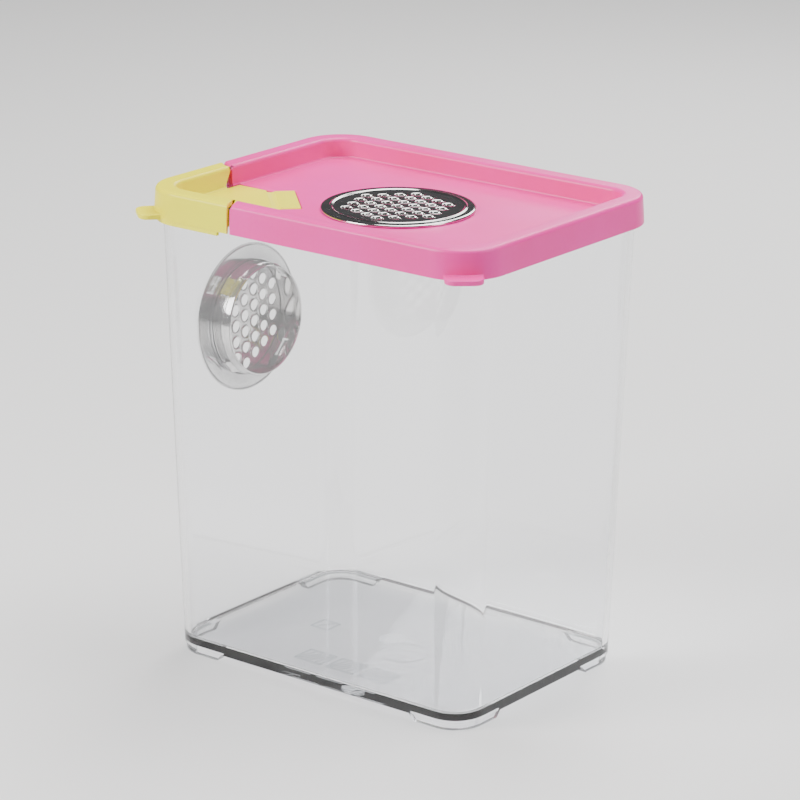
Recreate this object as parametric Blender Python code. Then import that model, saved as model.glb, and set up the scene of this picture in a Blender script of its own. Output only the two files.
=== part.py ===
"""A small ventilated insect box: a clear box on corner feet, a soft snap lid with a corner spout cap on a
living hinge, and two round push-in vents. Metres, +Z up, feet on z = 0, long side along X."""

import math

import bmesh
import bpy
from mathutils import Matrix, Vector

MM = 0.001

# Cutters run this far past what they cut
MARGIN = 5 * MM
WELL_OUTSIDE = 20 * MM

# Clear box: outside sizes at the base plate and at the lid's lower edge
BASE_LENGTH, BASE_WIDTH, BASE_RADIUS = 108.8 * MM, 79.1 * MM, 10.0 * MM
MOUTH_LENGTH, MOUTH_WIDTH, MOUTH_RADIUS = 116.4 * MM, 86.7 * MM, 11.8 * MM
FOOT_HEIGHT = 2.4 * MM
FLOOR_TOP = 4.6 * MM
FLOOR_CHAMFER = 1.5 * MM
WALL = 1.8 * MM
BOX_TOP = 141.1 * MM
CORNER_STEPS = 8

# Corner feet: ridges that follow the corner, with sloped ends
FOOT_ARM = 19.5 * MM
FOOT_WIDTH = 3.0 * MM
FOOT_INSET = 0.5 * MM
FOOT_SLOPE = 2.5 * MM
FOOT_ROOT = 0.6 * MM
FOOT_END_DROP = 0.05 * MM

# Lid: outside size at the skirt's lower edge, then insets from it
LID_LENGTH, LID_WIDTH, LID_RADIUS = 121.6 * MM, 92.0 * MM, 14.3 * MM
SKIRT_BOTTOM = 134.3 * MM
LID_TOP = 142.8 * MM
RIM_ROUND = 1.2 * MM
OUTER_DRAFT = 0.55 * MM
RIM_INNER = 6.6 * MM
PANEL_EDGE = 6.9 * MM
PANEL_TOP = 136.7 * MM
PANEL_BOTTOM = 135.1 * MM
CHANNEL_TOP = 141.4 * MM
CHANNEL_INNER = 5.1 * MM
CHANNEL_INNER_LOW = 5.3 * MM
CHANNEL_OUTER = 1.85 * MM
SKIRT_WALL = 1.35 * MM

# Thumb tabs at the two front corners
TAB_ANGLE = math.radians(50)
TAB_WIDTH = 10.8 * MM
TAB_REACH = 5.1 * MM
TAB_ROUND = 3.0 * MM
TAB_THICK = 1.5 * MM
TAB_ROOT = 0.7 * MM
TAB_DROP = 0.05 * MM
TAB_STEPS = 5

# Spout cap: where it parts from the lid, seen from above
FRONT_SPLIT_X = -25.5 * MM
SIDE_SPLIT_Y = -7.5 * MM
FRONT_SLANT = 2.5 * MM
SIDE_SLANT = 3.5 * MM
RIM_GAP = 0.9 * MM
RIM_FLARE = 0.9 * MM
FLARE_START = 141.3 * MM
PANEL_GAP = 0.5 * MM
CAP_WALL_INSET = 7.5 * MM
WALL_GAP = 0.4 * MM

# The cap's rim is cut back below this height at the side, so that it clears the lid as it swings up
SIDE_RELIEF = 2.0 * MM
RELIEF_LOW, RELIEF_HIGH = 137.5 * MM, 141.2 * MM

# Living hinge, measured along the diagonal from the lid's sharp corner
FLAP_EDGE = 39.7 * MM
HINGE_AXIS = 40.6 * MM
PANEL_LIP = 41.6 * MM
ANCHOR_NEAR = 41.8 * MM
ANCHOR_FAR = 47.8 * MM
HINGE_CENTRE_S = -13.2 * MM
FILM_LENGTH = 20.4 * MM
FILM_THICK = 0.5 * MM
FILM_TOP = 136.6 * MM
ANCHOR_LENGTH = 20.4 * MM
ANCHOR_TOP = 136.9 * MM
ANCHOR_BOTTOM = 136.1 * MM
PIECE_GAP = 0.2 * MM

# Drip lip below the cap's skirt
LIP_BOTTOM = 133.0 * MM
LIP_OUTER = 0.4 * MM
LIP_INNER = 1.3 * MM
LIP_ROOT = 0.3 * MM
LIP_FRONT_X = -29.5 * MM
LIP_SIDE_Y = -11.5 * MM

# Push-in vents: a flanged barrel with a perforated face pressed over its flange
VENT_STEPS = 48
SHEET = 0.35 * MM
FLANGE_RADIUS = 22.5 * MM
BEZEL_RADIUS = 19.5 * MM
SEAT_RADIUS = 21.8 * MM
BARREL_RADIUS = 17.1 * MM
BARREL_MOUTH_RADIUS = 16.5 * MM
BARREL_DEPTH = 8.1 * MM
BARREL_TAPER = 2.4 * MM
FLANGE_LIFT = 0.2 * MM
FACE_UNDER = 0.65 * MM
FACE_TOP = 1.0 * MM
BEZEL_TOP = 1.2 * MM
HOLE_RADIUS = 1.6 * MM
HOLE_PITCH = 4.9 * MM
HOLE_RINGS = 3
HOLE_STEPS = 10
BARB_WIDTH = 6.0 * MM
BARB_START = 2.2 * MM
BARB_END = 5.0 * MM
BARB_RISE = 0.8 * MM
BARB_ROOT = 0.2 * MM
VENT_HOLE_RADIUS = 17.4 * MM
SIDE_VENT_HEIGHT = 94.3 * MM

# The footprint's middle, tabs counted, is the origin
FRAME_SHIFT_Y = 1.35 * MM

SMOOTH_ANGLE = math.radians(35)


def clear_scene():
    for obj in list(bpy.data.objects):
        bpy.data.objects.remove(obj, do_unlink=True)


def plastic(name, colour, roughness, transmission=0.0):
    material = bpy.data.materials.new(name)
    material.use_nodes = True
    shader = material.node_tree.nodes["Principled BSDF"]
    shader.inputs["Base Color"].default_value = (*colour, 1)
    shader.inputs["Roughness"].default_value = roughness
    shader.inputs["Transmission Weight"].default_value = transmission
    return material


def steel(name):
    material = plastic(name, (0.78, 0.77, 0.75), 0.15)
    material.node_tree.nodes["Principled BSDF"].inputs["Metallic"].default_value = 1.0
    return material


def arc(centre, radius, start, end, steps):
    """Points on an arc in plan, both ends included."""
    angles = [start + (end - start) * i / steps for i in range(steps + 1)]
    return [(centre[0] + radius * math.cos(a), centre[1] + radius * math.sin(a)) for a in angles]


def rounded_rectangle(length, width, radius, z):
    """One ring of points, anticlockwise from the +X side."""
    ring = []
    for quarter in range(4):
        sign_x = 1 if quarter in (0, 3) else -1
        sign_y = 1 if quarter in (0, 1) else -1
        centre = (sign_x * (length / 2 - radius), sign_y * (width / 2 - radius))
        start = quarter * math.pi / 2
        corner = arc(centre, radius, start, start + math.pi / 2, CORNER_STEPS)
        ring += [Vector((x, y, z)) for x, y in corner]
    return ring


def circle_ring(radius, z, steps=VENT_STEPS):
    return [
        Vector((radius * math.cos(math.tau * i / steps), radius * math.sin(math.tau * i / steps), z))
        for i in range(steps)
    ]


def outline_ring(points, z):
    return [Vector((x, y, z)) for x, y in points]


def loft(name, rings, closed_loop=False):
    """A solid from rings of equal count: capped at both ends, or joined last to first as a hoop."""
    bm = bmesh.new()
    rows = [[bm.verts.new(point) for point in ring] for ring in rings]
    pairs = list(zip(rows, rows[1:]))
    if closed_loop:
        pairs.append((rows[-1], rows[0]))
    else:
        bm.faces.new(rows[0])
        bm.faces.new(rows[-1])
    for near, far in pairs:
        for i in range(len(near)):
            j = (i + 1) % len(near)
            bm.faces.new((near[i], near[j], far[j], far[i]))
    bmesh.ops.recalc_face_normals(bm, faces=bm.faces)
    mesh = bpy.data.meshes.new(name)
    bm.to_mesh(mesh)
    bm.free()
    mesh.shade_smooth()
    mesh.set_sharp_from_angle(angle=SMOOTH_ANGLE)
    return mesh


def add(name, mesh, material, parent):
    obj = bpy.data.objects.new(name, mesh)
    bpy.context.scene.collection.objects.link(obj)
    obj.parent = parent
    if material:
        mesh.materials.append(material)
    return obj


def helper(name, mesh, parent):
    """A cutter, or a shape that a Boolean joins to a piece."""
    obj = add(name, mesh, None, parent)
    obj.hide_render = True
    obj.display_type = "WIRE"
    return obj


def boolean(obj, operation, other):
    modifier = obj.modifiers.new(other.name, "BOOLEAN")
    modifier.operation = operation
    modifier.object = other
    modifier.solver = "EXACT"


def set_origin(obj, point):
    obj.data.transform(Matrix.Translation(-point))
    obj.location = point


# Clear box


def box_ring(z, inset=0.0):
    """The box's outline at a height, drafted from base to mouth and drawn in by inset."""
    part = (z - FOOT_HEIGHT) / (SKIRT_BOTTOM - FOOT_HEIGHT)
    length = BASE_LENGTH + (MOUTH_LENGTH - BASE_LENGTH) * part
    width = BASE_WIDTH + (MOUTH_WIDTH - BASE_WIDTH) * part
    radius = BASE_RADIUS + (MOUTH_RADIUS - BASE_RADIUS) * part
    return rounded_rectangle(length - 2 * inset, width - 2 * inset, radius - inset, z)


def corner_foot(sign_x, sign_y):
    """A ridge along one corner of the base: stations of four points along the corner's path."""
    half_length, half_width = BASE_LENGTH / 2 - FOOT_INSET, BASE_WIDTH / 2 - FOOT_INSET
    outer = BASE_RADIUS - FOOT_INSET
    centre = Vector((half_length - outer, half_width - outer))
    arm_x, arm_y = half_length - FOOT_ARM, half_width - FOOT_ARM
    stations = [(Vector((arm_x, centre.y)), math.pi / 2, True)]
    stations.append((Vector((arm_x + FOOT_SLOPE, centre.y)), math.pi / 2, False))
    for i in range(CORNER_STEPS + 1):
        stations.append((centre, math.pi / 2 * (1 - i / CORNER_STEPS), False))
    stations.append((Vector((centre.x, arm_y + FOOT_SLOPE)), 0.0, False))
    stations.append((Vector((centre.x, arm_y)), 0.0, True))
    top = FOOT_HEIGHT + FOOT_ROOT
    rings = []
    for middle, angle, is_end in stations:
        bottom = FOOT_HEIGHT - FOOT_END_DROP if is_end else 0.0
        away = Vector((math.cos(angle), math.sin(angle)))
        edges = [middle + away * outer, middle + away * (outer - FOOT_WIDTH)]
        corners = [(edges[0], top), (edges[0], bottom), (edges[1], bottom), (edges[1], top)]
        rings.append([Vector((point.x * sign_x, point.y * sign_y, z)) for point, z in corners])
    return loft("corner_foot", rings)


def make_container(parent, material):
    rings = [
        box_ring(FLOOR_TOP, WALL + FLOOR_CHAMFER),
        box_ring(FLOOR_TOP + FLOOR_CHAMFER, WALL),
        box_ring(BOX_TOP, WALL),
        box_ring(BOX_TOP),
        box_ring(FOOT_HEIGHT),
    ]
    container = add("container", loft("container", rings), material, parent)
    for sign_x in (-1, 1):
        for sign_y in (-1, 1):
            foot = helper("foot_shape", corner_foot(sign_x, sign_y), parent)
            boolean(container, "UNION", foot)
    return container


# Lid and spout cap, cut from one shell


def lid_ring(inset, z):
    return rounded_rectangle(LID_LENGTH - 2 * inset, LID_WIDTH - 2 * inset, LID_RADIUS - inset, z)


def lid_shell():
    """The whole lid before it is parted, from the panel's top over the hollow rim and skirt to its underside."""
    quarter = RIM_ROUND * (1 - math.sin(math.pi / 4))
    rings = [
        lid_ring(PANEL_EDGE, PANEL_TOP),
        lid_ring(RIM_INNER, LID_TOP - RIM_ROUND),
        lid_ring(RIM_INNER - quarter, LID_TOP - quarter),
        lid_ring(RIM_INNER - RIM_ROUND, LID_TOP),
        lid_ring(OUTER_DRAFT + RIM_ROUND, LID_TOP),
        lid_ring(OUTER_DRAFT + quarter, LID_TOP - quarter),
        lid_ring(OUTER_DRAFT, LID_TOP - RIM_ROUND),
        lid_ring(0.0, SKIRT_BOTTOM),
        lid_ring(SKIRT_WALL, SKIRT_BOTTOM),
        lid_ring(CHANNEL_OUTER, CHANNEL_TOP),
        lid_ring(CHANNEL_INNER, CHANNEL_TOP),
        lid_ring(CHANNEL_INNER_LOW, PANEL_BOTTOM),
    ]
    return loft("lid_shell", rings)


def thumb_tab(sign_x):
    """A rounded plate that stands out of the skirt's lower edge at a front corner."""
    root = LID_RADIUS - TAB_ROOT
    spread = math.asin(TAB_WIDTH / 2 / root)
    tip = LID_RADIUS + TAB_REACH - TAB_ROUND
    side = TAB_WIDTH / 2 - TAB_ROUND
    outline = arc((tip, -side), TAB_ROUND, -math.pi / 2, 0, TAB_STEPS)
    outline += arc((tip, side), TAB_ROUND, 0, math.pi / 2, TAB_STEPS)
    outline += arc((0, 0), root, spread, -spread, TAB_STEPS)
    mesh = loft("thumb_tab", [outline_ring(outline, 0), outline_ring(outline, TAB_THICK)])
    centre_x, centre_y = sign_x * (LID_LENGTH / 2 - LID_RADIUS), LID_RADIUS - LID_WIDTH / 2
    centre = Vector((centre_x, centre_y, SKIRT_BOTTOM - TAB_DROP))
    turn = -TAB_ANGLE if sign_x > 0 else TAB_ANGLE - math.pi
    mesh.transform(Matrix.Translation(centre) @ Matrix.Rotation(turn, 4, "Z"))
    return mesh


def diagonal_point(distance, s):
    """A point in plan from its distance along the corner's diagonal and its place s along the hinge."""
    total = distance * math.sqrt(2) - LID_LENGTH / 2 - LID_WIDTH / 2
    across = s * math.sqrt(2)
    return ((total + across) / 2, (total - across) / 2)


def cap_outline(clearance, hinge_edge, flare=0.0, relief=0.0):
    """The spout cap seen from above: clearance is 0 for the cap and 1 for the space that the lid leaves it.
    Its panel steps out under the rim's slanted ends, and its far side lies along the hinge."""
    rim = clearance * RIM_GAP + flare
    panel = clearance * PANEL_GAP
    wall = CAP_WALL_INSET - clearance * WALL_GAP
    edge_x, edge_y = -LID_LENGTH / 2, -LID_WIDTH / 2
    rim_x, rim_y = FRONT_SPLIT_X + rim, SIDE_SPLIT_Y + rim - relief
    panel_x, panel_y = FRONT_SPLIT_X + panel, SIDE_SPLIT_Y + panel
    hinge_sum = hinge_edge * math.sqrt(2) + edge_x + edge_y
    return [
        (edge_x - WELL_OUTSIDE, edge_y - WELL_OUTSIDE),
        (rim_x, edge_y - WELL_OUTSIDE),
        (rim_x, edge_y),
        (rim_x - FRONT_SLANT, edge_y + CHANNEL_INNER),
        (rim_x - FRONT_SLANT, edge_y + wall),
        (panel_x, edge_y + wall),
        (panel_x, hinge_sum - panel_x),
        (hinge_sum - panel_y, panel_y),
        (edge_x + wall, panel_y),
        (edge_x + wall, rim_y - SIDE_SLANT),
        (edge_x + CHANNEL_INNER, rim_y - SIDE_SLANT),
        (edge_x, rim_y),
        (edge_x - WELL_OUTSIDE, rim_y),
    ]


def cap_body_region():
    """What the cap takes of the whole lid, cut back low down at the side."""
    cut_back = cap_outline(0, FLAP_EDGE, relief=SIDE_RELIEF)
    plain = cap_outline(0, FLAP_EDGE)
    rings = [
        outline_ring(cut_back, LIP_BOTTOM - MARGIN),
        outline_ring(cut_back, RELIEF_LOW),
        outline_ring(plain, RELIEF_HIGH),
        outline_ring(plain, LID_TOP + MARGIN),
    ]
    return loft("cap_region", rings)


def cap_clearance():
    """What the lid leaves free for the cap, with the rim's ends flared at the top."""
    plain = cap_outline(1, PANEL_LIP)
    wide = cap_outline(1, PANEL_LIP, flare=RIM_FLARE)
    rings = [
        outline_ring(plain, LIP_BOTTOM - MARGIN),
        outline_ring(plain, FLARE_START),
        outline_ring(wide, LID_TOP),
        outline_ring(wide, LID_TOP + MARGIN),
    ]
    return loft("cap_clearance", rings)


def drip_lip():
    """A hoop under the skirt; the part of it at the spout corner is kept."""
    top = SKIRT_BOTTOM + LIP_ROOT
    rings = [
        lid_ring(LIP_OUTER, top),
        lid_ring(LIP_OUTER, LIP_BOTTOM),
        lid_ring(LIP_INNER, LIP_BOTTOM),
        lid_ring(LIP_INNER, top),
    ]
    return loft("drip_lip", rings, closed_loop=True)


def diagonal_block(name, near, far, length, bottom, top):
    """A flat block lying along the hinge, between two distances from the corner."""
    half = length / 2
    corners = [(near, -half), (far, -half), (far, half), (near, half)]
    outline = [diagonal_point(distance, HINGE_CENTRE_S + s) for distance, s in corners]
    return loft(name, [outline_ring(outline, bottom), outline_ring(outline, top)])


def hinge_point():
    x, y = diagonal_point(HINGE_AXIS, HINGE_CENTRE_S)
    return Vector((x, y, FILM_TOP - FILM_THICK / 2))


def make_lid(parent, material):
    lid = add("lid", lid_shell(), material, parent)
    boolean(lid, "UNION", helper("near_tab_shape", thumb_tab(1), parent))
    boolean(lid, "DIFFERENCE", helper("cap_clearance", cap_clearance(), parent))
    pocket = diagonal_block(
        "anchor_pocket",
        PANEL_LIP - PANEL_GAP,
        ANCHOR_FAR + PIECE_GAP,
        ANCHOR_LENGTH + 2 * PIECE_GAP,
        ANCHOR_BOTTOM - PIECE_GAP,
        LID_TOP,
    )
    boolean(lid, "DIFFERENCE", helper("anchor_pocket", pocket, parent))
    return lid


def make_spout_cap(parent, material):
    lip = helper("drip_lip_shape", drip_lip(), parent)
    far_x, far_y = -LID_LENGTH / 2 - WELL_OUTSIDE, -LID_WIDTH / 2 - WELL_OUTSIDE
    corner = [(far_x, far_y), (LIP_FRONT_X, far_y), (LIP_FRONT_X, LIP_SIDE_Y), (far_x, LIP_SIDE_Y)]
    kept = loft("lip_corner", [outline_ring(corner, 0), outline_ring(corner, LID_TOP)])
    boolean(lip, "INTERSECT", helper("lip_corner", kept, parent))
    cap = add("spout_cap", lid_shell(), material, parent)
    boolean(cap, "INTERSECT", helper("cap_region", cap_body_region(), parent))
    boolean(cap, "UNION", helper("cap_tab_shape", thumb_tab(-1), parent))
    boolean(cap, "UNION", lip)
    set_origin(cap, hinge_point())
    return cap


def make_living_hinge(parent, material):
    film = diagonal_block(
        "spout_cap_hinge",
        FLAP_EDGE + PIECE_GAP,
        ANCHOR_NEAR - PIECE_GAP,
        FILM_LENGTH,
        FILM_TOP - FILM_THICK,
        FILM_TOP,
    )
    set_origin(add("spout_cap_hinge", film, material, parent), hinge_point())
    plate = diagonal_block(
        "spout_cap_anchor", ANCHOR_NEAR, ANCHOR_FAR, ANCHOR_LENGTH, ANCHOR_BOTTOM, ANCHOR_TOP
    )
    add("spout_cap_anchor", plate, material, parent)


# Push-in vents, built with +Z out of the wall and z = 0 on the wall's outer face


def vent_barrel():
    straight = BARREL_TAPER - BARREL_DEPTH
    profile = [
        (SEAT_RADIUS, FLANGE_LIFT + SHEET),
        (SEAT_RADIUS, FLANGE_LIFT),
        (BARREL_RADIUS, FLANGE_LIFT),
        (BARREL_RADIUS, straight),
        (BARREL_MOUTH_RADIUS, -BARREL_DEPTH),
        (BARREL_MOUTH_RADIUS - SHEET, -BARREL_DEPTH),
        (BARREL_RADIUS - SHEET, straight),
        (BARREL_RADIUS - SHEET, FLANGE_LIFT + SHEET),
    ]
    return loft("vent_barrel", [circle_ring(r, z) for r, z in profile], closed_loop=True)


def vent_barb(turn):
    """A punched tongue that catches behind the wall, seen from the side as a wedge."""
    base = BARREL_RADIUS - BARB_ROOT
    wedge = [
        (base, -BARB_START),
        (BARREL_RADIUS + BARB_RISE, -BARB_START),
        (BARREL_RADIUS, -BARB_END),
        (base, -BARB_END),
    ]
    rings = [[Vector((x, y, z)) for x, z in wedge] for y in (-BARB_WIDTH / 2, BARB_WIDTH / 2)]
    mesh = loft("vent_barb", rings)
    mesh.transform(Matrix.Rotation(turn, 4, "Z"))
    return mesh


def vent_face():
    profile = [
        (BEZEL_RADIUS - SHEET, FACE_TOP),
        (BEZEL_RADIUS, BEZEL_TOP),
        (FLANGE_RADIUS - SHEET, BEZEL_TOP),
        (FLANGE_RADIUS, BEZEL_TOP - SHEET),
        (FLANGE_RADIUS, FLANGE_LIFT),
        (FLANGE_RADIUS - SHEET, FLANGE_LIFT),
        (FLANGE_RADIUS - SHEET, FACE_UNDER),
    ]
    return loft("vent_face", [circle_ring(r, z) for r, z in profile])


def hole_centres():
    """A hexagonal array: one hole, then rings of 6, 12 and 18 about it."""
    centres = []
    for row in range(-HOLE_RINGS, HOLE_RINGS + 1):
        count = 2 * HOLE_RINGS + 1 - abs(row)
        for i in range(count):
            centres.append(((i - (count - 1) / 2) * HOLE_PITCH, row * HOLE_PITCH * math.sin(math.pi / 3)))
    return centres


def hole_punches():
    bm = bmesh.new()
    for x, y in hole_centres():
        bmesh.ops.create_cone(
            bm,
            cap_ends=True,
            segments=HOLE_STEPS,
            radius1=HOLE_RADIUS,
            radius2=HOLE_RADIUS,
            depth=2 * MARGIN,
            matrix=Matrix.Translation((x, y, 0)),
        )
    mesh = bpy.data.meshes.new("hole_punches")
    bm.to_mesh(mesh)
    bm.free()
    return mesh


def make_vent(name, pose, barb_turn, hole_turn, wall_piece, parent, material):
    """Both pieces of a vent, and the round hole that its barrel goes through."""
    barrel = add(name + "_barrel", vent_barrel(), material, parent)
    face = add(name + "_face", vent_face(), material, parent)
    for i in range(4):
        barb = helper(name + "_barb_shape", vent_barb(barb_turn + i * math.pi / 2), parent)
        barb.matrix_local = pose
        boolean(barrel, "UNION", barb)
    punches = helper(name + "_punches", hole_punches(), parent)
    punches.matrix_local = pose @ Matrix.Rotation(hole_turn, 4, "Z")
    boolean(face, "DIFFERENCE", punches)
    bore_rings = [circle_ring(VENT_HOLE_RADIUS, -MARGIN), circle_ring(VENT_HOLE_RADIUS, MARGIN)]
    bore = helper(name + "_bore", loft("vent_bore", bore_rings), parent)
    bore.matrix_local = pose
    boolean(wall_piece, "DIFFERENCE", bore)
    for piece in (barrel, face):
        piece.matrix_local = pose


def side_vent_pose():
    """On the -X wall, facing out along the drafted wall's own normal."""
    draft = math.atan((MOUTH_LENGTH - BASE_LENGTH) / 2 / (SKIRT_BOTTOM - FOOT_HEIGHT))
    part = (SIDE_VENT_HEIGHT - FOOT_HEIGHT) / (SKIRT_BOTTOM - FOOT_HEIGHT)
    x = -(BASE_LENGTH + (MOUTH_LENGTH - BASE_LENGTH) * part) / 2
    turn = Matrix.Rotation(-math.pi / 2 - draft, 4, "Y")
    return Matrix.Translation((x, 0, SIDE_VENT_HEIGHT)) @ turn


def main():
    clear_scene()
    clear = plastic("clear_styrene", (0.93, 0.95, 0.97), 0.03, 0.95)
    pink = plastic("pink_polyethylene", (0.91, 0.32, 0.53), 0.42)
    yellow = plastic("yellow_polyethylene", (0.95, 0.85, 0.08), 0.40)
    metal = steel("stainless_sheet")
    frame = bpy.data.objects.new("insect_box", None)
    bpy.context.scene.collection.objects.link(frame)
    frame.location = (0, FRAME_SHIFT_Y, 0)
    container = make_container(frame, clear)
    lid = make_lid(frame, pink)
    make_spout_cap(frame, yellow)
    make_living_hinge(frame, yellow)
    lid_pose = Matrix.Translation((0, 0, PANEL_TOP))
    make_vent("lid_vent", lid_pose, math.pi / 4, math.pi / 4, lid, frame, metal)
    make_vent("side_vent", side_vent_pose(), math.pi / 4, 0.0, container, frame, metal)


main()
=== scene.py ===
# %% [markdown]
# # A clear insect box with a push-on lid
#
# This lesson builds the looks of a small ventilated box for live insects: a clear moulded box, a soft
# pink lid with a yellow spout cap on a living hinge, and two pressed steel vents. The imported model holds
# the sizes and the joints, so we start by loading it as a fixed frame, and we read every big size from
# it.

# %% Load the frame
import math

import bmesh
import bpy
from mathutils import Matrix, Vector


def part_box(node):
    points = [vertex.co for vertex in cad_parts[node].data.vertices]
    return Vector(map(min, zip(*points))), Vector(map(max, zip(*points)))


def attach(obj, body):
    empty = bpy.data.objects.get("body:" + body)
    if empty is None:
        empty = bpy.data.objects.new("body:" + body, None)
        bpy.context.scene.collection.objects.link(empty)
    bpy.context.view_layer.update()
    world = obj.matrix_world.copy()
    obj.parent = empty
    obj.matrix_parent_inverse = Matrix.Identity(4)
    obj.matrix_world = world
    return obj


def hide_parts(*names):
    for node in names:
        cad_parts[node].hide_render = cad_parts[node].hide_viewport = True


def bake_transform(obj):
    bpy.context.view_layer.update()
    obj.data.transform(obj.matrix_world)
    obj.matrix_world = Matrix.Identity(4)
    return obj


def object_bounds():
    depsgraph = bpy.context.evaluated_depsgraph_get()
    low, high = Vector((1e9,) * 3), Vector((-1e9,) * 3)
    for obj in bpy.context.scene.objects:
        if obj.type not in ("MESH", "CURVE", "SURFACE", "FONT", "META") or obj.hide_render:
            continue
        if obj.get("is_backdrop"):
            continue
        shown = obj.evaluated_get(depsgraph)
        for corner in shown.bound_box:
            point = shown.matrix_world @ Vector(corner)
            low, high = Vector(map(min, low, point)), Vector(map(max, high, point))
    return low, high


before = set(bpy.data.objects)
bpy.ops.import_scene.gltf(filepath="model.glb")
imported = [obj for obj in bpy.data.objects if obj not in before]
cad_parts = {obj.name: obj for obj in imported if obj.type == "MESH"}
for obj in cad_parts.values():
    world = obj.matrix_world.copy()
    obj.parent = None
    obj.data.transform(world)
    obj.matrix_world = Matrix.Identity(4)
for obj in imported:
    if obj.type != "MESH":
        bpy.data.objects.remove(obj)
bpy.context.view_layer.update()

# %% [markdown]
# ## Sizes
#
# Blender works in metres, and this object is a hand's width across, so details are written in millimetres
# and multiplied by MM. Only what a bounding box can't tell, such as wall thickness, draft and edge radii,
# is written here.

# %% Sizes read from the frame
MM = 0.001
box_low, box_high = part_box("container")
lid_low, lid_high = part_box("lid")
cap_low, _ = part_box("spout_cap")
CENTRE = (box_low + box_high) / 2
CENTRE.z = 0
BOX_TOP = box_high.z
MOUTH_LENGTH, MOUTH_WIDTH = box_high.x - box_low.x, box_high.y - box_low.y
LID_TOP = lid_high.z
LID_LENGTH, LID_WIDTH = 2 * (CENTRE.x - lid_low.x), 2 * (lid_high.y - CENTRE.y)


def in_mm(values):
    """Lengths in millimetres, for printing."""
    return [round(value / MM, 1) for value in values]


print("box mouth's length and width, and its height:", in_mm((MOUTH_LENGTH, MOUTH_WIDTH, BOX_TOP)))
print("lid's length and width, and its height:", in_mm((LID_LENGTH, LID_WIDTH, LID_TOP)))

# %% Sizes of the box's details
FOOT_HEIGHT = 2.4 * MM
FLOOR_TOP = 4.6 * MM
WALL = 1.8 * MM
DRAFT = 0.0288
MOUTH_RADIUS, BASE_RADIUS = 11.9 * MM, 10.0 * MM
CORNER_STEPS = 18

# %% Sizes of the lid's details
LID_RADIUS = 14.3 * MM
SKIRT_BOTTOM = LID_TOP - 8.5 * MM
PANEL_TOP = LID_TOP - 6.1 * MM
PANEL_BOTTOM = PANEL_TOP - 1.6 * MM
CHANNEL_TOP = LID_TOP - 1.4 * MM
RIM_OUTER, RIM_INNER, PANEL_EDGE = 0.55 * MM, 6.6 * MM, 6.9 * MM
SKIRT_WALL, CHANNEL_OUTER = 1.35 * MM, 1.85 * MM
CHANNEL_INNER, CHANNEL_INNER_LOW = 5.1 * MM, 5.3 * MM

# %% [markdown]
# ## Mesh helpers
#
# Every moulded piece here is made in the same three moves: loft a plain solid from rings of points, cut
# it and join to it with Boolean modifiers, then round its edges with a Bevel modifier that reads a weight
# from each edge. Rounding last keeps the cuts simple, and real mouldings have a small radius on every
# edge, which is what catches the light.


# %% Outlines and lofts
def rounded_ring(length, width, radius, z, steps=CORNER_STEPS):
    """A rounded rectangle about the object's middle, anticlockwise."""
    ring = []
    for quarter in range(4):
        sign_x = 1 if quarter in (0, 3) else -1
        sign_y = 1 if quarter in (0, 1) else -1
        middle = CENTRE + Vector((sign_x * (length / 2 - radius), sign_y * (width / 2 - radius), z))
        for i in range(steps + 1):
            angle = (quarter + i / steps) * math.pi / 2
            ring.append(middle + radius * Vector((math.cos(angle), math.sin(angle), 0)))
    return ring


def circle(radius, z, steps):
    """A ring of points about the Z axis."""
    turns = [math.tau * i / steps for i in range(steps)]
    return [Vector((radius * math.cos(a), radius * math.sin(a), z)) for a in turns]


def loft(rings, hoop=False):
    """A bmesh solid from rings of equal count, capped at both ends or closed into a hoop."""
    bm = bmesh.new()
    rows = [[bm.verts.new(point) for point in ring] for ring in rings]
    pairs = list(zip(rows, rows[1:]))
    if hoop:
        pairs.append((rows[-1], rows[0]))
    else:
        bm.faces.new(rows[0])
        bm.faces.new(rows[-1])
    for near, far in pairs:
        for i in range(len(near)):
            j = (i + 1) % len(near)
            bm.faces.new((near[i], near[j], far[j], far[i]))
    bmesh.ops.recalc_face_normals(bm, faces=bm.faces)
    return bm


def prism(outline, low, high):
    """A straight solid between two heights over an outline of (x, y) points."""
    return loft([[Vector((x, y, z)) for x, y in outline] for z in (low, high)])


# %% Objects, cuts and joins
def solid(name, bm, pose=None):
    """Turns a bmesh into an object, placed by pose if one is given."""
    mesh = bpy.data.meshes.new(name)
    if pose:
        bmesh.ops.transform(bm, matrix=pose, verts=bm.verts)
    bm.to_mesh(mesh)
    bm.free()
    obj = bpy.data.objects.new(name, mesh)
    bpy.context.scene.collection.objects.link(obj)
    return obj


def settle(obj):
    """Swaps an object's mesh for the one its modifiers make."""
    graph = bpy.context.evaluated_depsgraph_get()
    mesh = bpy.data.meshes.new_from_object(obj.evaluated_get(graph))
    obj.modifiers.clear()
    obj.data = mesh
    return obj


def combine(obj, operation, other):
    """Cuts, joins or crops obj with other, and throws other away."""
    modifier = obj.modifiers.new(operation, "BOOLEAN")
    modifier.operation = operation
    modifier.object = other
    modifier.solver = "EXACT"
    settle(obj)
    bpy.data.objects.remove(other)
    return obj


# %% Rounded edges and smooth shading
SHARP, SMOOTH = math.radians(25), math.radians(32)
MOST_CORNERS = 40
SAME_POINT = 0.002 * MM


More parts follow.
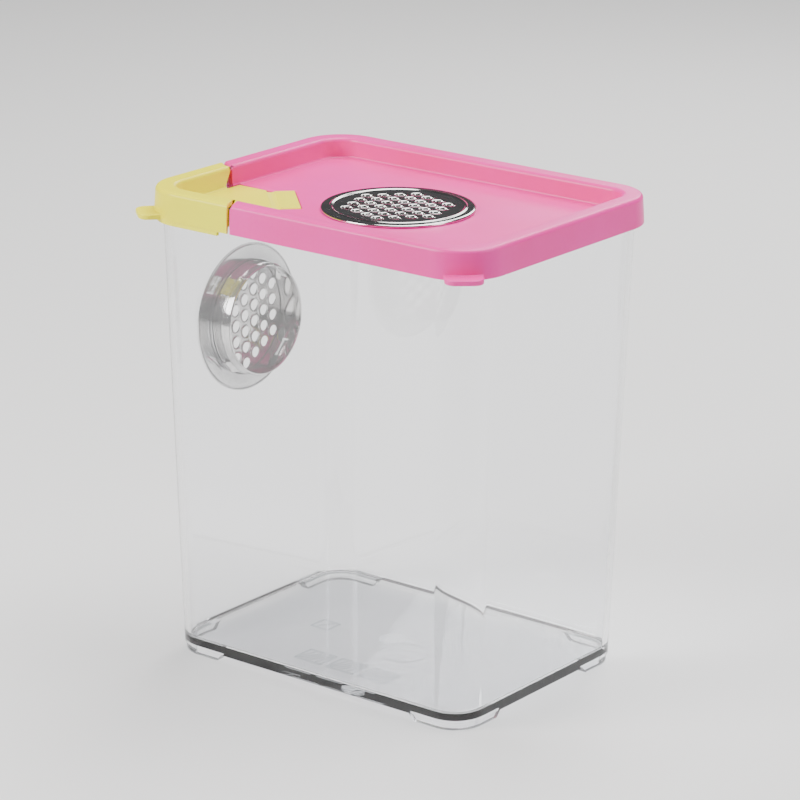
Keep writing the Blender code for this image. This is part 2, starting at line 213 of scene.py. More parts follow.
def round_edges(obj, radius_of, widest, segments=3):
    """Rounds each sharp edge by radius_of its two ends, and no edge by more than widest.

    A face with very many corners is split into triangles first, because rounding can break it.
    """
    bm = bmesh.new()
    bm.from_mesh(obj.data)
    bmesh.ops.remove_doubles(bm, verts=bm.verts, dist=SAME_POINT)
    bmesh.ops.dissolve_degenerate(bm, edges=bm.edges, dist=SAME_POINT)
    bmesh.ops.triangulate(bm, faces=[face for face in bm.faces if len(face.verts) > MOST_CORNERS])
    weight = bm.edges.layers.float.new("bevel_weight_edge")
    count = 0
    for edge in bm.edges:
        if len(edge.link_faces) == 2 and edge.calc_face_angle(0) > SHARP:
            edge[weight] = radius_of(edge.verts[0].co, edge.verts[1].co) / widest
            count += 1
    bm.to_mesh(obj.data)
    bm.free()
    modifier = obj.modifiers.new("round", "BEVEL")
    modifier.limit_method = "WEIGHT"
    modifier.width = widest
    modifier.segments = segments
    modifier.use_clamp_overlap = False
    modifier.miter_outer = "MITER_SHARP"
    settle(obj)
    print(obj.name, "rounded", count, "edges,", len(obj.data.polygons), "faces")
    return obj


def shade(obj, material, angle=SMOOTH):
    """Gives a finish, smooth faces, and normals that follow the large faces."""
    obj.data.materials.clear()
    obj.data.materials.append(material)
    obj.data.shade_smooth()
    obj.data.set_sharp_from_angle(angle=angle)
    modifier = obj.modifiers.new("normals", "WEIGHTED_NORMAL")
    modifier.keep_sharp = True
    return obj


# %% [markdown]
# ## Shared effects for the materials
#
# Three effects come up in more than one material, so each is a node group: a drifting change of tone,
# fine scuffs, and a mask on convex edges where plastic turns paler and steel is rubbed bright. The groups
# give out colours and values only, and the shaders themselves stay in each material.


# %% Node helpers
MIX_FACTOR, MIX_A, MIX_B, MIX_COLOUR = 0, 6, 7, 2


def node(tree, kind, **values):
    """Adds a node; names of inputs that have spaces are written with underscores."""
    made = tree.nodes.new(kind)
    for key, value in values.items():
        if hasattr(made, key):
            setattr(made, key, value)
        else:
            made.inputs[key.replace("_", " ")].default_value = value
    return made


def new_group(name, inputs, outputs):
    """A shader node group with named sockets: inputs as {name: default}, outputs as names."""
    tree = bpy.data.node_groups.new(name, "ShaderNodeTree")
    for label, default in inputs.items():
        kind = "NodeSocketColor" if isinstance(default, tuple) else "NodeSocketFloat"
        socket = tree.interface.new_socket(label, in_out="INPUT", socket_type=kind)
        socket.default_value = default
    for label in outputs:
        kind = "NodeSocketColor" if "Color" in label else "NodeSocketFloat"
        tree.interface.new_socket(label, in_out="OUTPUT", socket_type=kind)
    return tree, tree.nodes.new("NodeGroupInput"), tree.nodes.new("NodeGroupOutput")


def use_group(tree, group, **values):
    """Places a group in a material with its own values."""
    made = tree.nodes.new("ShaderNodeGroup")
    made.node_tree = group
    for key, value in values.items():
        made.inputs[key.replace("_", " ")].default_value = value
    return made


# %% Tone: a slow drift between two colours
tone_group, g_in, g_out = new_group(
    "tone_drift", {"Color A": (1, 1, 1, 1), "Color B": (0, 0, 0, 1), "Patch Size": 0.03}, ["Color"]
)
coordinates = node(tone_group, "ShaderNodeTexCoord")
per_size = node(tone_group, "ShaderNodeMath", operation="DIVIDE")
per_size.inputs[0].default_value = 1.0
clouds = node(tone_group, "ShaderNodeTexNoise", Detail=4.0, Roughness=0.55)
spread = node(tone_group, "ShaderNodeMapRange", From_Min=0.35, From_Max=0.65)
blend_colours = node(tone_group, "ShaderNodeMix", data_type="RGBA")
tone_group.links.new(g_in.outputs["Patch Size"], per_size.inputs[1])
tone_group.links.new(coordinates.outputs["Object"], clouds.inputs["Vector"])
tone_group.links.new(per_size.outputs[0], clouds.inputs["Scale"])
tone_group.links.new(clouds.outputs["Fac"], spread.inputs["Value"])
tone_group.links.new(spread.outputs[0], blend_colours.inputs[MIX_FACTOR])
tone_group.links.new(g_in.outputs["Color A"], blend_colours.inputs[MIX_A])
tone_group.links.new(g_in.outputs["Color B"], blend_colours.inputs[MIX_B])
tone_group.links.new(blend_colours.outputs[MIX_COLOUR], g_out.inputs["Color"])
print("group", tone_group.name)

# %% Scuffs: long thin marks, broken up so that they come in places
scuff_group, g_in, g_out = new_group("scuffs", {"Length": 0.02, "Thinness": 20.0, "Amount": 0.3}, ["Mask"])
coordinates = node(scuff_group, "ShaderNodeTexCoord")
stretch = node(scuff_group, "ShaderNodeMapping")
stretch.inputs["Rotation"].default_value = (0.3, 0.5, 0.9)
combine_scale = node(scuff_group, "ShaderNodeCombineXYZ")
per_length = node(scuff_group, "ShaderNodeMath", operation="DIVIDE")
per_length.inputs[0].default_value = 1.0
across = node(scuff_group, "ShaderNodeMath", operation="MULTIPLY")
marks = node(scuff_group, "ShaderNodeTexNoise", Scale=1.0, Detail=3.0, Roughness=0.6)
thin = node(scuff_group, "ShaderNodeMapRange", From_Min=0.62, From_Max=0.70)
patches = node(scuff_group, "ShaderNodeTexNoise", Scale=35.0, Detail=2.0)
places = node(scuff_group, "ShaderNodeMapRange", From_Min=0.45, From_Max=0.62)
both = node(scuff_group, "ShaderNodeMath", operation="MULTIPLY")
scaled = node(scuff_group, "ShaderNodeMath", operation="MULTIPLY", use_clamp=True)
links = scuff_group.links
links.new(g_in.outputs["Length"], per_length.inputs[1])
links.new(per_length.outputs[0], across.inputs[0])
links.new(g_in.outputs["Thinness"], across.inputs[1])
links.new(per_length.outputs[0], combine_scale.inputs[0])
links.new(across.outputs[0], combine_scale.inputs[1])
links.new(across.outputs[0], combine_scale.inputs[2])
links.new(coordinates.outputs["Object"], stretch.inputs["Vector"])
links.new(combine_scale.outputs[0], stretch.inputs["Scale"])
links.new(stretch.outputs[0], marks.inputs["Vector"])
links.new(marks.outputs["Fac"], thin.inputs["Value"])
links.new(coordinates.outputs["Object"], patches.inputs["Vector"])
links.new(patches.outputs["Fac"], places.inputs["Value"])
links.new(thin.outputs[0], both.inputs[0])
links.new(places.outputs[0], both.inputs[1])
links.new(both.outputs[0], scaled.inputs[0])
links.new(g_in.outputs["Amount"], scaled.inputs[1])
links.new(scaled.outputs[0], g_out.inputs["Mask"])
print("group", scuff_group.name)

# %% Edge wear: convex edges, broken by a fine noise
edge_group, g_in, g_out = new_group("edge_wear", {"Start": 0.52, "Full": 0.6, "Amount": 1.0}, ["Mask"])
geometry = node(edge_group, "ShaderNodeNewGeometry")
convex = node(edge_group, "ShaderNodeMapRange")
coordinates = node(edge_group, "ShaderNodeTexCoord")
crumbs = node(edge_group, "ShaderNodeTexNoise", Scale=900.0, Detail=3.0)
chips = node(edge_group, "ShaderNodeMapRange", From_Min=0.3, From_Max=0.6, To_Min=0.35)
both = node(edge_group, "ShaderNodeMath", operation="MULTIPLY")
scaled = node(edge_group, "ShaderNodeMath", operation="MULTIPLY", use_clamp=True)
links = edge_group.links
links.new(geometry.outputs["Pointiness"], convex.inputs["Value"])
links.new(g_in.outputs["Start"], convex.inputs["From Min"])
links.new(g_in.outputs["Full"], convex.inputs["From Max"])
links.new(coordinates.outputs["Object"], crumbs.inputs["Vector"])
links.new(crumbs.outputs["Fac"], chips.inputs["Value"])
links.new(convex.outputs[0], both.inputs[0])
links.new(chips.outputs[0], both.inputs[1])
links.new(both.outputs[0], scaled.inputs[0])
links.new(g_in.outputs["Amount"], scaled.inputs[1])
links.new(scaled.outputs[0], g_out.inputs["Mask"])
print("group", edge_group.name)

# %% Steps that every finish takes
def new_material(name):
    """A material with its node tree and its Principled shader."""
    material = bpy.data.materials.new(name)
    material.use_nodes = True
    return material, material.node_tree, material.node_tree.nodes["Principled BSDF"]


def scuff_roughness(tree, shader, smooth, scuffed, **scuff_values):
    """Roughness runs from smooth to scuffed by the mask of the scuffs."""
    scuffs = use_group(tree, scuff_group, **scuff_values)
    rough = node(tree, "ShaderNodeMapRange", To_Min=smooth, To_Max=scuffed)
    tree.links.new(scuffs.outputs["Mask"], rough.inputs["Value"])
    tree.links.new(rough.outputs[0], shader.inputs["Roughness"])


def noise_bump(tree, shader, scale, detail, strength, depth):
    """A noise in the object's own space tilts the surface a little."""
    coordinates = node(tree, "ShaderNodeTexCoord")
    noise = node(tree, "ShaderNodeTexNoise", Scale=scale, Detail=detail)
    bump = node(tree, "ShaderNodeBump", Strength=strength, Distance=depth)
    tree.links.new(coordinates.outputs["Object"], noise.inputs["Vector"])
    tree.links.new(noise.outputs["Fac"], bump.inputs["Height"])
    tree.links.new(bump.outputs["Normal"], shader.inputs["Normal"])


# %% [markdown]
# ## Soft polyethylene
#
# The lid and the cap are soft, slightly waxy plastic. Light sinks in a little and comes out again, so the
# Principled shader gets some subsurface scattering. The surface is a fine satin: a grain about a fifth of
# a millimetre across, a roughness that rises where it is scuffed, and paler convex edges.


# %% The polyethylene finish
def polyethylene(name, colour, shade_colour, pale, glow):
    """Colour drifts to shade_colour, edges are pale, and light inside spreads by glow in each colour."""
    material, tree, shader = new_material(name)
    shader.inputs["Subsurface Weight"].default_value = 0.15
    shader.inputs["Subsurface Radius"].default_value = glow
    shader.inputs["Subsurface Scale"].default_value = 2.0 * MM
    shader.inputs["IOR"].default_value = 1.51
    shader.inputs["Specular IOR Level"].default_value = 0.42
    tone = use_group(tree, tone_group, Color_A=colour, Color_B=shade_colour, Patch_Size=0.035)
    wear = use_group(tree, edge_group, Start=0.51, Full=0.62, Amount=0.35)
    worn = node(tree, "ShaderNodeMix", data_type="RGBA")
    worn.inputs[MIX_B].default_value = pale
    tree.links.new(wear.outputs["Mask"], worn.inputs[MIX_FACTOR])
    tree.links.new(tone.outputs["Color"], worn.inputs[MIX_A])
    tree.links.new(worn.outputs[MIX_COLOUR], shader.inputs["Base Color"])
    scuff_roughness(tree, shader, 0.36, 0.52, Length=0.018, Thinness=26.0, Amount=0.5)
    noise_bump(tree, shader, scale=5200.0, detail=2.0, strength=0.25, depth=0.03 * MM)
    return material


pink = polyethylene(
    "pink_polyethylene",
    colour=(0.94, 0.030, 0.37, 1),
    shade_colour=(0.90, 0.022, 0.31, 1),
    pale=(1.0, 0.28, 0.60, 1),
    glow=(1.0, 0.25, 0.55),
)
yellow = polyethylene(
    "yellow_polyethylene",
    colour=(0.93, 0.86, 0.001, 1),
    shade_colour=(0.90, 0.80, 0.001, 1),
    pale=(1.0, 0.95, 0.10, 1),
    glow=(1.0, 0.9, 0.1),
)
print("made", pink.name, "and", yellow.name)

# %% [markdown]
# ## Clear polystyrene
#
# The box is hard, glassy styrene: full transmission, an index of 1.59 and almost no roughness but for
# faint handling scuffs. Real light passes through clear walls, but a path tracer blocks lamps at glass,
# so rays from lamps see a slightly tinted Transparent shader in its place, darker where they graze the
# wall. That keeps the inside lit and leaves the soft edge-heavy shadow that a clear box throws.


# %% The clear finish
def styrene(name, colour, smooth, scuffed, transmission):
    """Clear or frosted styrene; light from the lamps passes it as through a tinted film."""
    material, tree, shader = new_material(name)
    shader.inputs["Base Color"].default_value = colour
    shader.inputs["Transmission Weight"].default_value = transmission
    shader.inputs["IOR"].default_value = 1.59
    scuff_roughness(tree, shader, smooth, scuffed, Length=0.03, Thinness=45.0, Amount=0.8)
    noise_bump(tree, shader, scale=60.0, detail=1.0, strength=0.15, depth=0.05 * MM)
    facing = node(tree, "ShaderNodeLayerWeight", Blend=0.35)
    through = node(tree, "ShaderNodeMix", data_type="RGBA")
    through.inputs[MIX_A].default_value = (0.94, 0.95, 0.96, 1)
    through.inputs[MIX_B].default_value = (0.30, 0.32, 0.34, 1)
    passing = node(tree, "ShaderNodeBsdfTransparent")
    path = node(tree, "ShaderNodeLightPath")
    mix = node(tree, "ShaderNodeMixShader")
    tree.links.new(facing.outputs["Facing"], through.inputs[MIX_FACTOR])
    tree.links.new(through.outputs[MIX_COLOUR], passing.inputs["Color"])
    tree.links.new(path.outputs["Is Shadow Ray"], mix.inputs[0])
    tree.links.new(shader.outputs[0], mix.inputs[1])
    tree.links.new(passing.outputs[0], mix.inputs[2])
    tree.links.new(mix.outputs[0], tree.nodes["Material Output"].inputs["Surface"])
    return material


clear = styrene("clear_styrene", (0.985, 0.99, 1.0, 1), 0.0, 0.12, transmission=1.0)
frosted = styrene("frosted_styrene", (0.33, 0.35, 0.37, 1), 0.38, 0.5, transmission=0.5)
gate_frost = styrene("gate_styrene", (0.99, 0.99, 1.0, 1), 0.45, 0.55, transmission=0.5)
print("made", [finish.name for finish in (clear, frosted, gate_frost)])

# %% [markdown]
# ## Pressed stainless sheet
#
# The vents are bright stainless steel. Polished sheet is never a perfect mirror: its tone drifts, fine
# scuffs cross it, rubbed edges are brighter, and a faint waviness from the press bends the reflections.


# %% The steel finish
def stainless(name):
    material, tree, shader = new_material(name)
    shader.inputs["Metallic"].default_value = 1.0
    tone = use_group(
        tree, tone_group, Color_A=(0.60, 0.59, 0.58, 1), Color_B=(0.50, 0.49, 0.48, 1), Patch_Size=0.008
    )
    wear = use_group(tree, edge_group, Start=0.52, Full=0.60, Amount=0.8)
    bright = node(tree, "ShaderNodeMix", data_type="RGBA")
    bright.inputs[MIX_B].default_value = (0.86, 0.85, 0.83, 1)
    tree.links.new(wear.outputs["Mask"], bright.inputs[MIX_FACTOR])
    tree.links.new(tone.outputs["Color"], bright.inputs[MIX_A])
    tree.links.new(bright.outputs[MIX_COLOUR], shader.inputs["Base Color"])
    scuff_roughness(tree, shader, 0.10, 0.32, Length=0.006, Thinness=30.0, Amount=1.0)
    noise_bump(tree, shader, scale=420.0, detail=2.0, strength=0.2, depth=0.05 * MM)
    return material


steel = stainless("stainless_sheet")
print("made", steel.name)

# %% [markdown]
# ## The clear box
#
# The box is one injection moulding. Its walls lean out by about a degree and a half so that it leaves the
# mould, so the loft joins a smaller base ring to a larger mouth ring, outside and inside. Feet, floor
# marks and the vent's bore are joined or cut before the edges are rounded.


# %% Box outline at any height
def box_ring(z, inset=0.0):
    """The leaning wall's outline at height z; the corners grow a little wider upwards."""
    lean = (BOX_TOP - z) * DRAFT
    part = (z - FOOT_HEIGHT) / (BOX_TOP - FOOT_HEIGHT)
    radius = BASE_RADIUS + (MOUTH_RADIUS - BASE_RADIUS) * part
    narrower = 2 * (lean + inset)
    return rounded_ring(MOUTH_LENGTH - narrower, MOUTH_WIDTH - narrower, radius - inset, z)


container = solid(
    "container_fine",
    loft([box_ring(FLOOR_TOP, WALL), box_ring(BOX_TOP, WALL), box_ring(BOX_TOP), box_ring(FOOT_HEIGHT)]),
)
print("box walls", len(container.data.polygons), "faces")

# %% Corner feet
FOOT_ARM, FOOT_WIDTH, FOOT_INSET, FOOT_SLOPE = 19.5 * MM, 3.0 * MM, 0.5 * MM, 2.5 * MM
FOOT_SINK, FOOT_ROOT = 0.4 * MM, FLOOR_TOP - MM
BASE_LENGTH = MOUTH_LENGTH - 2 * DRAFT * (BOX_TOP - FOOT_HEIGHT)
BASE_WIDTH = MOUTH_WIDTH - 2 * DRAFT * (BOX_TOP - FOOT_HEIGHT)


def corner_foot(sign_x, sign_y):
    """A ridge round one corner of the base, as stations of four points; its ends slope into the floor."""
    half_x, half_y = BASE_LENGTH / 2 - FOOT_INSET, BASE_WIDTH / 2 - FOOT_INSET
    outer = BASE_RADIUS - FOOT_INSET
    turn_x, turn_y = half_x - outer, half_y - outer
    end_x, end_y = half_x - FOOT_ARM, half_y - FOOT_ARM
    stations = [(end_x, turn_y, 90, True), (half_x - FOOT_ARM + FOOT_SLOPE, turn_y, 90, False)]
    stations += [(turn_x, turn_y, 90 * (1 - i / CORNER_STEPS), False) for i in range(CORNER_STEPS + 1)]
    stations += [(turn_x, half_y - FOOT_ARM + FOOT_SLOPE, 0, False), (turn_x, end_y, 0, True)]
    rings = []
    for x, y, degrees, is_end in stations:
        bottom = FOOT_HEIGHT + FOOT_SINK if is_end else 0.0
        away = Vector((math.cos(math.radians(degrees)), math.sin(math.radians(degrees)), 0))
        outside, inside = (Vector((x, y, 0)) + away * r for r in (outer, outer - FOOT_WIDTH))
        corners = [(outside, FOOT_ROOT), (outside, bottom), (inside, bottom), (inside, FOOT_ROOT)]
        rings.append([CENTRE + Vector((p.x * sign_x, p.y * sign_y, z)) for p, z in corners])
    return loft(rings)


for sign_x in (-1, 1):
    for sign_y in (-1, 1):
        combine(container, "UNION", solid("foot", corner_foot(sign_x, sign_y)))
print("with feet", len(container.data.polygons), "faces")

# %% [markdown]
# The floor carries what moulding leaves: the gate's frosted recess in the middle, an ejector's faint
# ring, and small square marks. Real boxes have symbols in those squares. Ours are blank frames with a
# plain hatch, raised a quarter of a millimetre on the underside.

# %% Floor marks
MARKS_REACH = 36 * MM
MARK_HEIGHT, MARK_LINE, MARK_ROOT = 0.25 * MM, 0.5 * MM, 0.3 * MM
HATCH_LINE = 0.75 * MARK_LINE
marks_bm = bmesh.new()


def add_bar(start, end, width=MARK_LINE):
    """A thin raised bar under the floor between two points, in millimetres from the middle."""
    a, b = (CENTRE + Vector((x * MM, y * MM, 0)) for x, y in (start, end))
    along = (b - a).normalized()
    side = Vector((-along.y, along.x, 0)) * width / 2
    corners = [a - side, b - side, b + side, a + side]
    bar = prism([(p.x, p.y) for p in corners], FOOT_HEIGHT - MARK_HEIGHT, FOOT_HEIGHT + MARK_ROOT)
    mesh = bpy.data.meshes.new("bar")
    bar.to_mesh(mesh)
    bar.free()
    marks_bm.from_mesh(mesh)
    bpy.data.meshes.remove(mesh)


def add_frame(x, y, width, depth, hatch):
    """A square mark of four bars that don't touch, with hatch lines inside, in millimetres."""
    gap, overhang, longest_lean, side_gap, end_gap = 0.45, 0.2, 1.6, 0.8, 0.9
    left, right, front, back = x - width / 2, x + width / 2, y - depth / 2, y + depth / 2
    add_bar((left, front + gap), (left, back - gap))
    add_bar((right, front + gap), (right, back - gap))
    add_bar((left - overhang, front), (right + overhang, front))
    add_bar((left - overhang, back), (right + overhang, back))
    for i in range(hatch):
        middle = left + (i + 1) * width / (hatch + 1)
        lean = min(longest_lean, middle - left - side_gap, right - middle - side_gap)
        add_bar((middle - lean, front + end_gap), (middle + lean, back - end_gap), HATCH_LINE)


for x in (-10.0, 1.9, 13.8):
    add_frame(x, y=-24.7, width=9.5, depth=7.6, hatch=5)
add_frame(x=-24.0, y=-2.8, width=6.2, depth=6.0, hatch=1)
combine(container, "UNION", solid("marks", marks_bm))
print("with raised marks", len(container.data.polygons), "faces")

# %% The gate's recess and the ejector's ring
GATE = CENTRE + Vector((-0.6 * MM, 0.2 * MM, 0))
GATE_RADIUS, GATE_DEPTH, GATE_STEPS = 4.1 * MM, 1.0 * MM, 48
recess = loft([circle(GATE_RADIUS, z, GATE_STEPS) for z in (-MM, FOOT_HEIGHT + GATE_DEPTH)])
combine(container, "DIFFERENCE", solid("gate", recess, Matrix.Translation(GATE)))
RING_INNER, RING_LINE, RING_DEPTH, RING_STEPS = 7.0 * MM, 0.3 * MM, 0.12 * MM, 64
RING_PLACE = GATE + Vector((10.3 * MM, -7.6 * MM, 0))
ring_low, ring_high = FLOOR_TOP - RING_DEPTH, FLOOR_TOP + MM
ring_outer = RING_INNER + RING_LINE
profile = [(RING_INNER, ring_high), (RING_INNER, ring_low), (ring_outer, ring_low), (ring_outer, ring_high)]
groove = loft([circle(r, z, RING_STEPS) for r, z in profile], hoop=True)
combine(container, "DIFFERENCE", solid("groove", groove, Matrix.Translation(RING_PLACE)))
print("gate and ejector marks cut")

# %% [markdown]
# The side vent sits in a round hole through the leaning end wall, so its pose is the wall's own: turned
# to face along -X, then tipped by the draft. The frame gives its middle. The lid's vent needs the same
# round hole.

# %% Bore for the side vent
BORE_RADIUS, BORE_REACH, BORE_STEPS = 17.4 * MM, 5 * MM, 96
face_low, face_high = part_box("side_vent_face")
TILT = math.atan(DRAFT)
side_middle = (face_low + face_high) / 2
half_lean = (BOX_TOP - side_middle.z) * DRAFT
side_pose = Matrix.Translation((box_low.x + half_lean, side_middle.y, side_middle.z))
side_pose = side_pose @ Matrix.Rotation(-math.pi / 2 - TILT, 4, "Y")


def bore(pose):
    """The round cutter that clears a vent's barrel."""
    return solid("bore", loft([circle(BORE_RADIUS, z, BORE_STEPS) for z in (-BORE_REACH, BORE_REACH)]), pose)


combine(container, "DIFFERENCE", bore(side_pose))
print("side vent at", in_mm(side_pose.translation))


# %% Round the box's edges
RIM_ROUND, FLOOR_ROUND, BASE_ROUND = 0.45 * MM, 1.5 * MM, 0.12 * MM
FOOT_ROUND, OTHER_ROUND = 0.4 * MM, 0.25 * MM
LEVEL, NEAR_LEVEL = 0.02 * MM, 0.06 * MM


def box_radius(a, b):
    """Rim, floor corner, base edge and feet each have their own radius, and the floor's marks stay crisp."""
    low, high = min(a.z, b.z), max(a.z, b.z)
    if high < FLOOR_TOP + LEVEL and (a - CENTRE).xy.length < MARKS_REACH:
        return 0.0
    if low > BOX_TOP - LEVEL:
        return RIM_ROUND
    if abs(low - FLOOR_TOP) < LEVEL and abs(high - FLOOR_TOP) < LEVEL:
        return FLOOR_ROUND
    if abs(low - FOOT_HEIGHT) < NEAR_LEVEL and high < FOOT_HEIGHT + NEAR_LEVEL:
        return BASE_ROUND
    return FOOT_ROUND if high < FOOT_HEIGHT + LEVEL else OTHER_ROUND


round_edges(container, box_radius, FLOOR_ROUND, 4)
shade(container, clear)
container.data.materials.append(frosted)
container.data.materials.append(gate_frost)
MARK_SLOT, GATE_SLOT = 1, 2
BELOW_BASE, BELOW_FLOOR = FOOT_HEIGHT - 0.5 * MARK_HEIGHT, FLOOR_TOP - 0.3 * MM
GATE_AREA = GATE_RADIUS + 0.1 * MM
for face in container.data.polygons:
    if face.center.z < BELOW_BASE and (face.center - CENTRE).xy.length < MARKS_REACH:
        face.material_index = MARK_SLOT
    elif face.center.z < BELOW_FLOOR and (face.center - GATE).xy.length < GATE_AREA:
        face.material_index = GATE_SLOT
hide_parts("container")
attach(container, "box")

# %% [markdown]
# ## The lid and the spout cap
#
# Lid and cap share one section: a sunk panel, a raised hollow rim, and a skirt that hangs over the box.
# The real maker moulds them in two colours from one design, so we loft the whole section once and crop it
# twice.


# %% The shared section
def lid_ring(inset, z):
    """The lid's outline, drawn in by inset, at height z."""
    return rounded_ring(LID_LENGTH - 2 * inset, LID_WIDTH - 2 * inset, LID_RADIUS - inset, z)


def filleted(corners, steps=5):
    """A path of (inset, z) from corners of (inset, z, radius), with each radius as an arc."""
    path = [Vector(corners[0][:2])]
    for before, corner, after in zip(corners, corners[1:], corners[2:]):
        here, radius = Vector(corner[:2]), corner[2]
        to_before = (Vector(before[:2]) - here).normalized()
        to_after = (Vector(after[:2]) - here).normalized()
        if not radius:
            path.append(here)
            continue
        half = to_before.angle(to_after) / 2
        middle = here + (to_before + to_after).normalized() * radius / math.sin(half)
        reach = radius / math.tan(half)
        start, end = here + to_before * reach - middle, here + to_after * reach - middle
        turn = start.angle_signed(end)
        path += [middle + Matrix.Rotation(-turn * i / steps, 2) @ start for i in range(steps + 1)]
    path.append(Vector(corners[-1][:2]))
    return path


def lid_shell(name):
    """The whole lid, cap and all, as (inset, height, fillet) from the panel's top round to its underside."""
    section = [
        (PANEL_EDGE + 3 * MM, PANEL_TOP, 0),
        (PANEL_EDGE, PANEL_TOP, 0.9 * MM),
        (RIM_INNER, LID_TOP, 1.25 * MM),
        (RIM_OUTER, LID_TOP, 1.25 * MM),
        (0.0, SKIRT_BOTTOM, 0.3 * MM),
        (SKIRT_WALL, SKIRT_BOTTOM, 0.2 * MM),
        (CHANNEL_OUTER, CHANNEL_TOP, 0),
        (CHANNEL_INNER, CHANNEL_TOP, 0),
        (CHANNEL_INNER_LOW, PANEL_BOTTOM, 0),
    ]
    return solid(name, loft([lid_ring(inset, z) for inset, z in filleted(section)]))


# %% Thumb tabs
TAB_ANGLE, TAB_WIDTH, TAB_REACH, TAB_ROUND = math.radians(50), 10.8 * MM, 5.1 * MM, 3.0 * MM
TAB_THICK, TAB_ROOT, TAB_DROP, TAB_STEPS = 1.5 * MM, 0.7 * MM, 0.05 * MM, 10


def thumb_tab(sign_x):
    """A rounded plate at a front corner, in line with the skirt's lower edge."""
    root = LID_RADIUS - TAB_ROOT
    spread = math.asin(TAB_WIDTH / 2 / root)
    tip, side = LID_RADIUS + TAB_REACH - TAB_ROUND, TAB_WIDTH / 2 - TAB_ROUND
    outline = []
    for i in range(TAB_STEPS + 1):
        a = -math.pi / 2 + math.pi / 2 * i / TAB_STEPS
        outline.append((tip + TAB_ROUND * math.cos(a), -side + TAB_ROUND * math.sin(a)))
    for i in range(TAB_STEPS + 1):
        a = math.pi / 2 * i / TAB_STEPS
        outline.append((tip + TAB_ROUND * math.cos(a), side + TAB_ROUND * math.sin(a)))
    for i in range(TAB_STEPS + 1):
        a = spread - 2 * spread * i / TAB_STEPS
        outline.append((root * math.cos(a), root * math.sin(a)))
    corner = CENTRE + Vector((sign_x * (LID_LENGTH / 2 - LID_RADIUS), LID_RADIUS - LID_WIDTH / 2, 0))
    corner.z = SKIRT_BOTTOM - TAB_DROP
    turn = -TAB_ANGLE if sign_x > 0 else TAB_ANGLE - math.pi
    pose = Matrix.Translation(corner) @ Matrix.Rotation(turn, 4, "Z")
    return solid("tab", prism(outline, 0, TAB_THICK), pose)


# %% Where the cap parts from the lid
FRONT_SPLIT, SIDE_SPLIT = CENTRE.x - 25.5 * MM, CENTRE.y - 7.5 * MM
FRONT_SLANT, SIDE_SLANT = 2.5 * MM, 3.5 * MM
RIM_GAP, RIM_FLARE, PANEL_GAP, WALL_GAP = 0.9 * MM, 0.9 * MM, 0.5 * MM, 0.4 * MM
FLARE_START = LID_TOP - 1.5 * MM
CAP_WALL = 7.5 * MM
SIDE_RELIEF, RELIEF_LOW, RELIEF_HIGH = 2.0 * MM, 137.5 * MM, 141.2 * MM
FLAP_EDGE, PANEL_LIP = 39.7 * MM, 41.6 * MM
OUTSIDE = 20 * MM


def cap_outline(clearance, hinge_edge, flare=0.0, relief=0.0):
    """The cap from above: clearance is 0 for the cap and 1 for the space that the lid leaves it."""
    rim, panel = clearance * RIM_GAP + flare, clearance * PANEL_GAP
    wall = CAP_WALL - clearance * WALL_GAP
    edge_x, edge_y = CENTRE.x - LID_LENGTH / 2, CENTRE.y - LID_WIDTH / 2
    rim_x, rim_y = FRONT_SPLIT + rim, SIDE_SPLIT + rim - relief
    panel_x, panel_y = FRONT_SPLIT + panel, SIDE_SPLIT + panel
    hinge_sum = hinge_edge * math.sqrt(2) + edge_x + edge_y
    return [
        (edge_x - OUTSIDE, edge_y - OUTSIDE),
        (rim_x, edge_y - OUTSIDE),
        (rim_x, edge_y),
        (rim_x - FRONT_SLANT, edge_y + CHANNEL_INNER),
        (rim_x - FRONT_SLANT, edge_y + wall),
        (panel_x, edge_y + wall),
        (panel_x, hinge_sum - panel_x),
        (hinge_sum - panel_y, panel_y),
        (edge_x + wall, panel_y),
        (edge_x + wall, rim_y - SIDE_SLANT),
        (edge_x + CHANNEL_INNER, rim_y - SIDE_SLANT),
        (edge_x, rim_y),
        (edge_x - OUTSIDE, rim_y),
    ]


def stacked(name, layers):
    """A cutter from outlines at rising heights."""
    return solid(name, loft([[Vector((x, y, z)) for x, y in outline] for outline, z in layers]))


# %% Edge radii for lid and cap
CUT_ROUND, FINE_ROUND = 0.3 * MM, 0.06 * MM
SLACK = 0.1 * MM
UNDER_PANEL, SKIRT_EDGE, OFF_OUTLINE = PANEL_TOP - 0.3 * MM, 0.35 * MM, 0.05 * MM
FILLET_FROM, FILLET_TO = RIM_INNER - 1.3 * MM, PANEL_EDGE + 1.2 * MM


def inset_of(point):
    """How far a point lies inside the lid's outline."""
    q = Vector((abs(point.x - CENTRE.x), abs(point.y - CENTRE.y))) - Vector(
        (LID_LENGTH / 2 - LID_RADIUS, LID_WIDTH / 2 - LID_RADIUS)
    )
    past = Vector((max(q.x, 0), max(q.y, 0))).length
    return LID_RADIUS - past - min(max(q.x, q.y), 0)


def cut_radius(a, b):
    """Cut and joined edges are rounded, but by less where the section's own arcs leave narrow facets.

    Edges hidden in the channel and under the panel, and the skirt's own lower arcs, aren't rounded again.
    """
    insets, heights = [inset_of(p) for p in (a, b)], [p.z for p in (a, b)]
    under_lid = min(insets) > SKIRT_WALL - SLACK
    in_channel = max(insets) < CHANNEL_INNER_LOW + SLACK and max(heights) < CHANNEL_TOP + SLACK
    if under_lid and (in_channel or max(heights) < UNDER_PANEL):
        return 0.0
    if min(insets) > OFF_OUTLINE and max(abs(z - SKIRT_BOTTOM) for z in heights) < SKIRT_EDGE:
        return 0.0
    in_fillet = min(insets) > FILLET_FROM and max(insets) < FILLET_TO
    return FINE_ROUND if in_fillet else CUT_ROUND


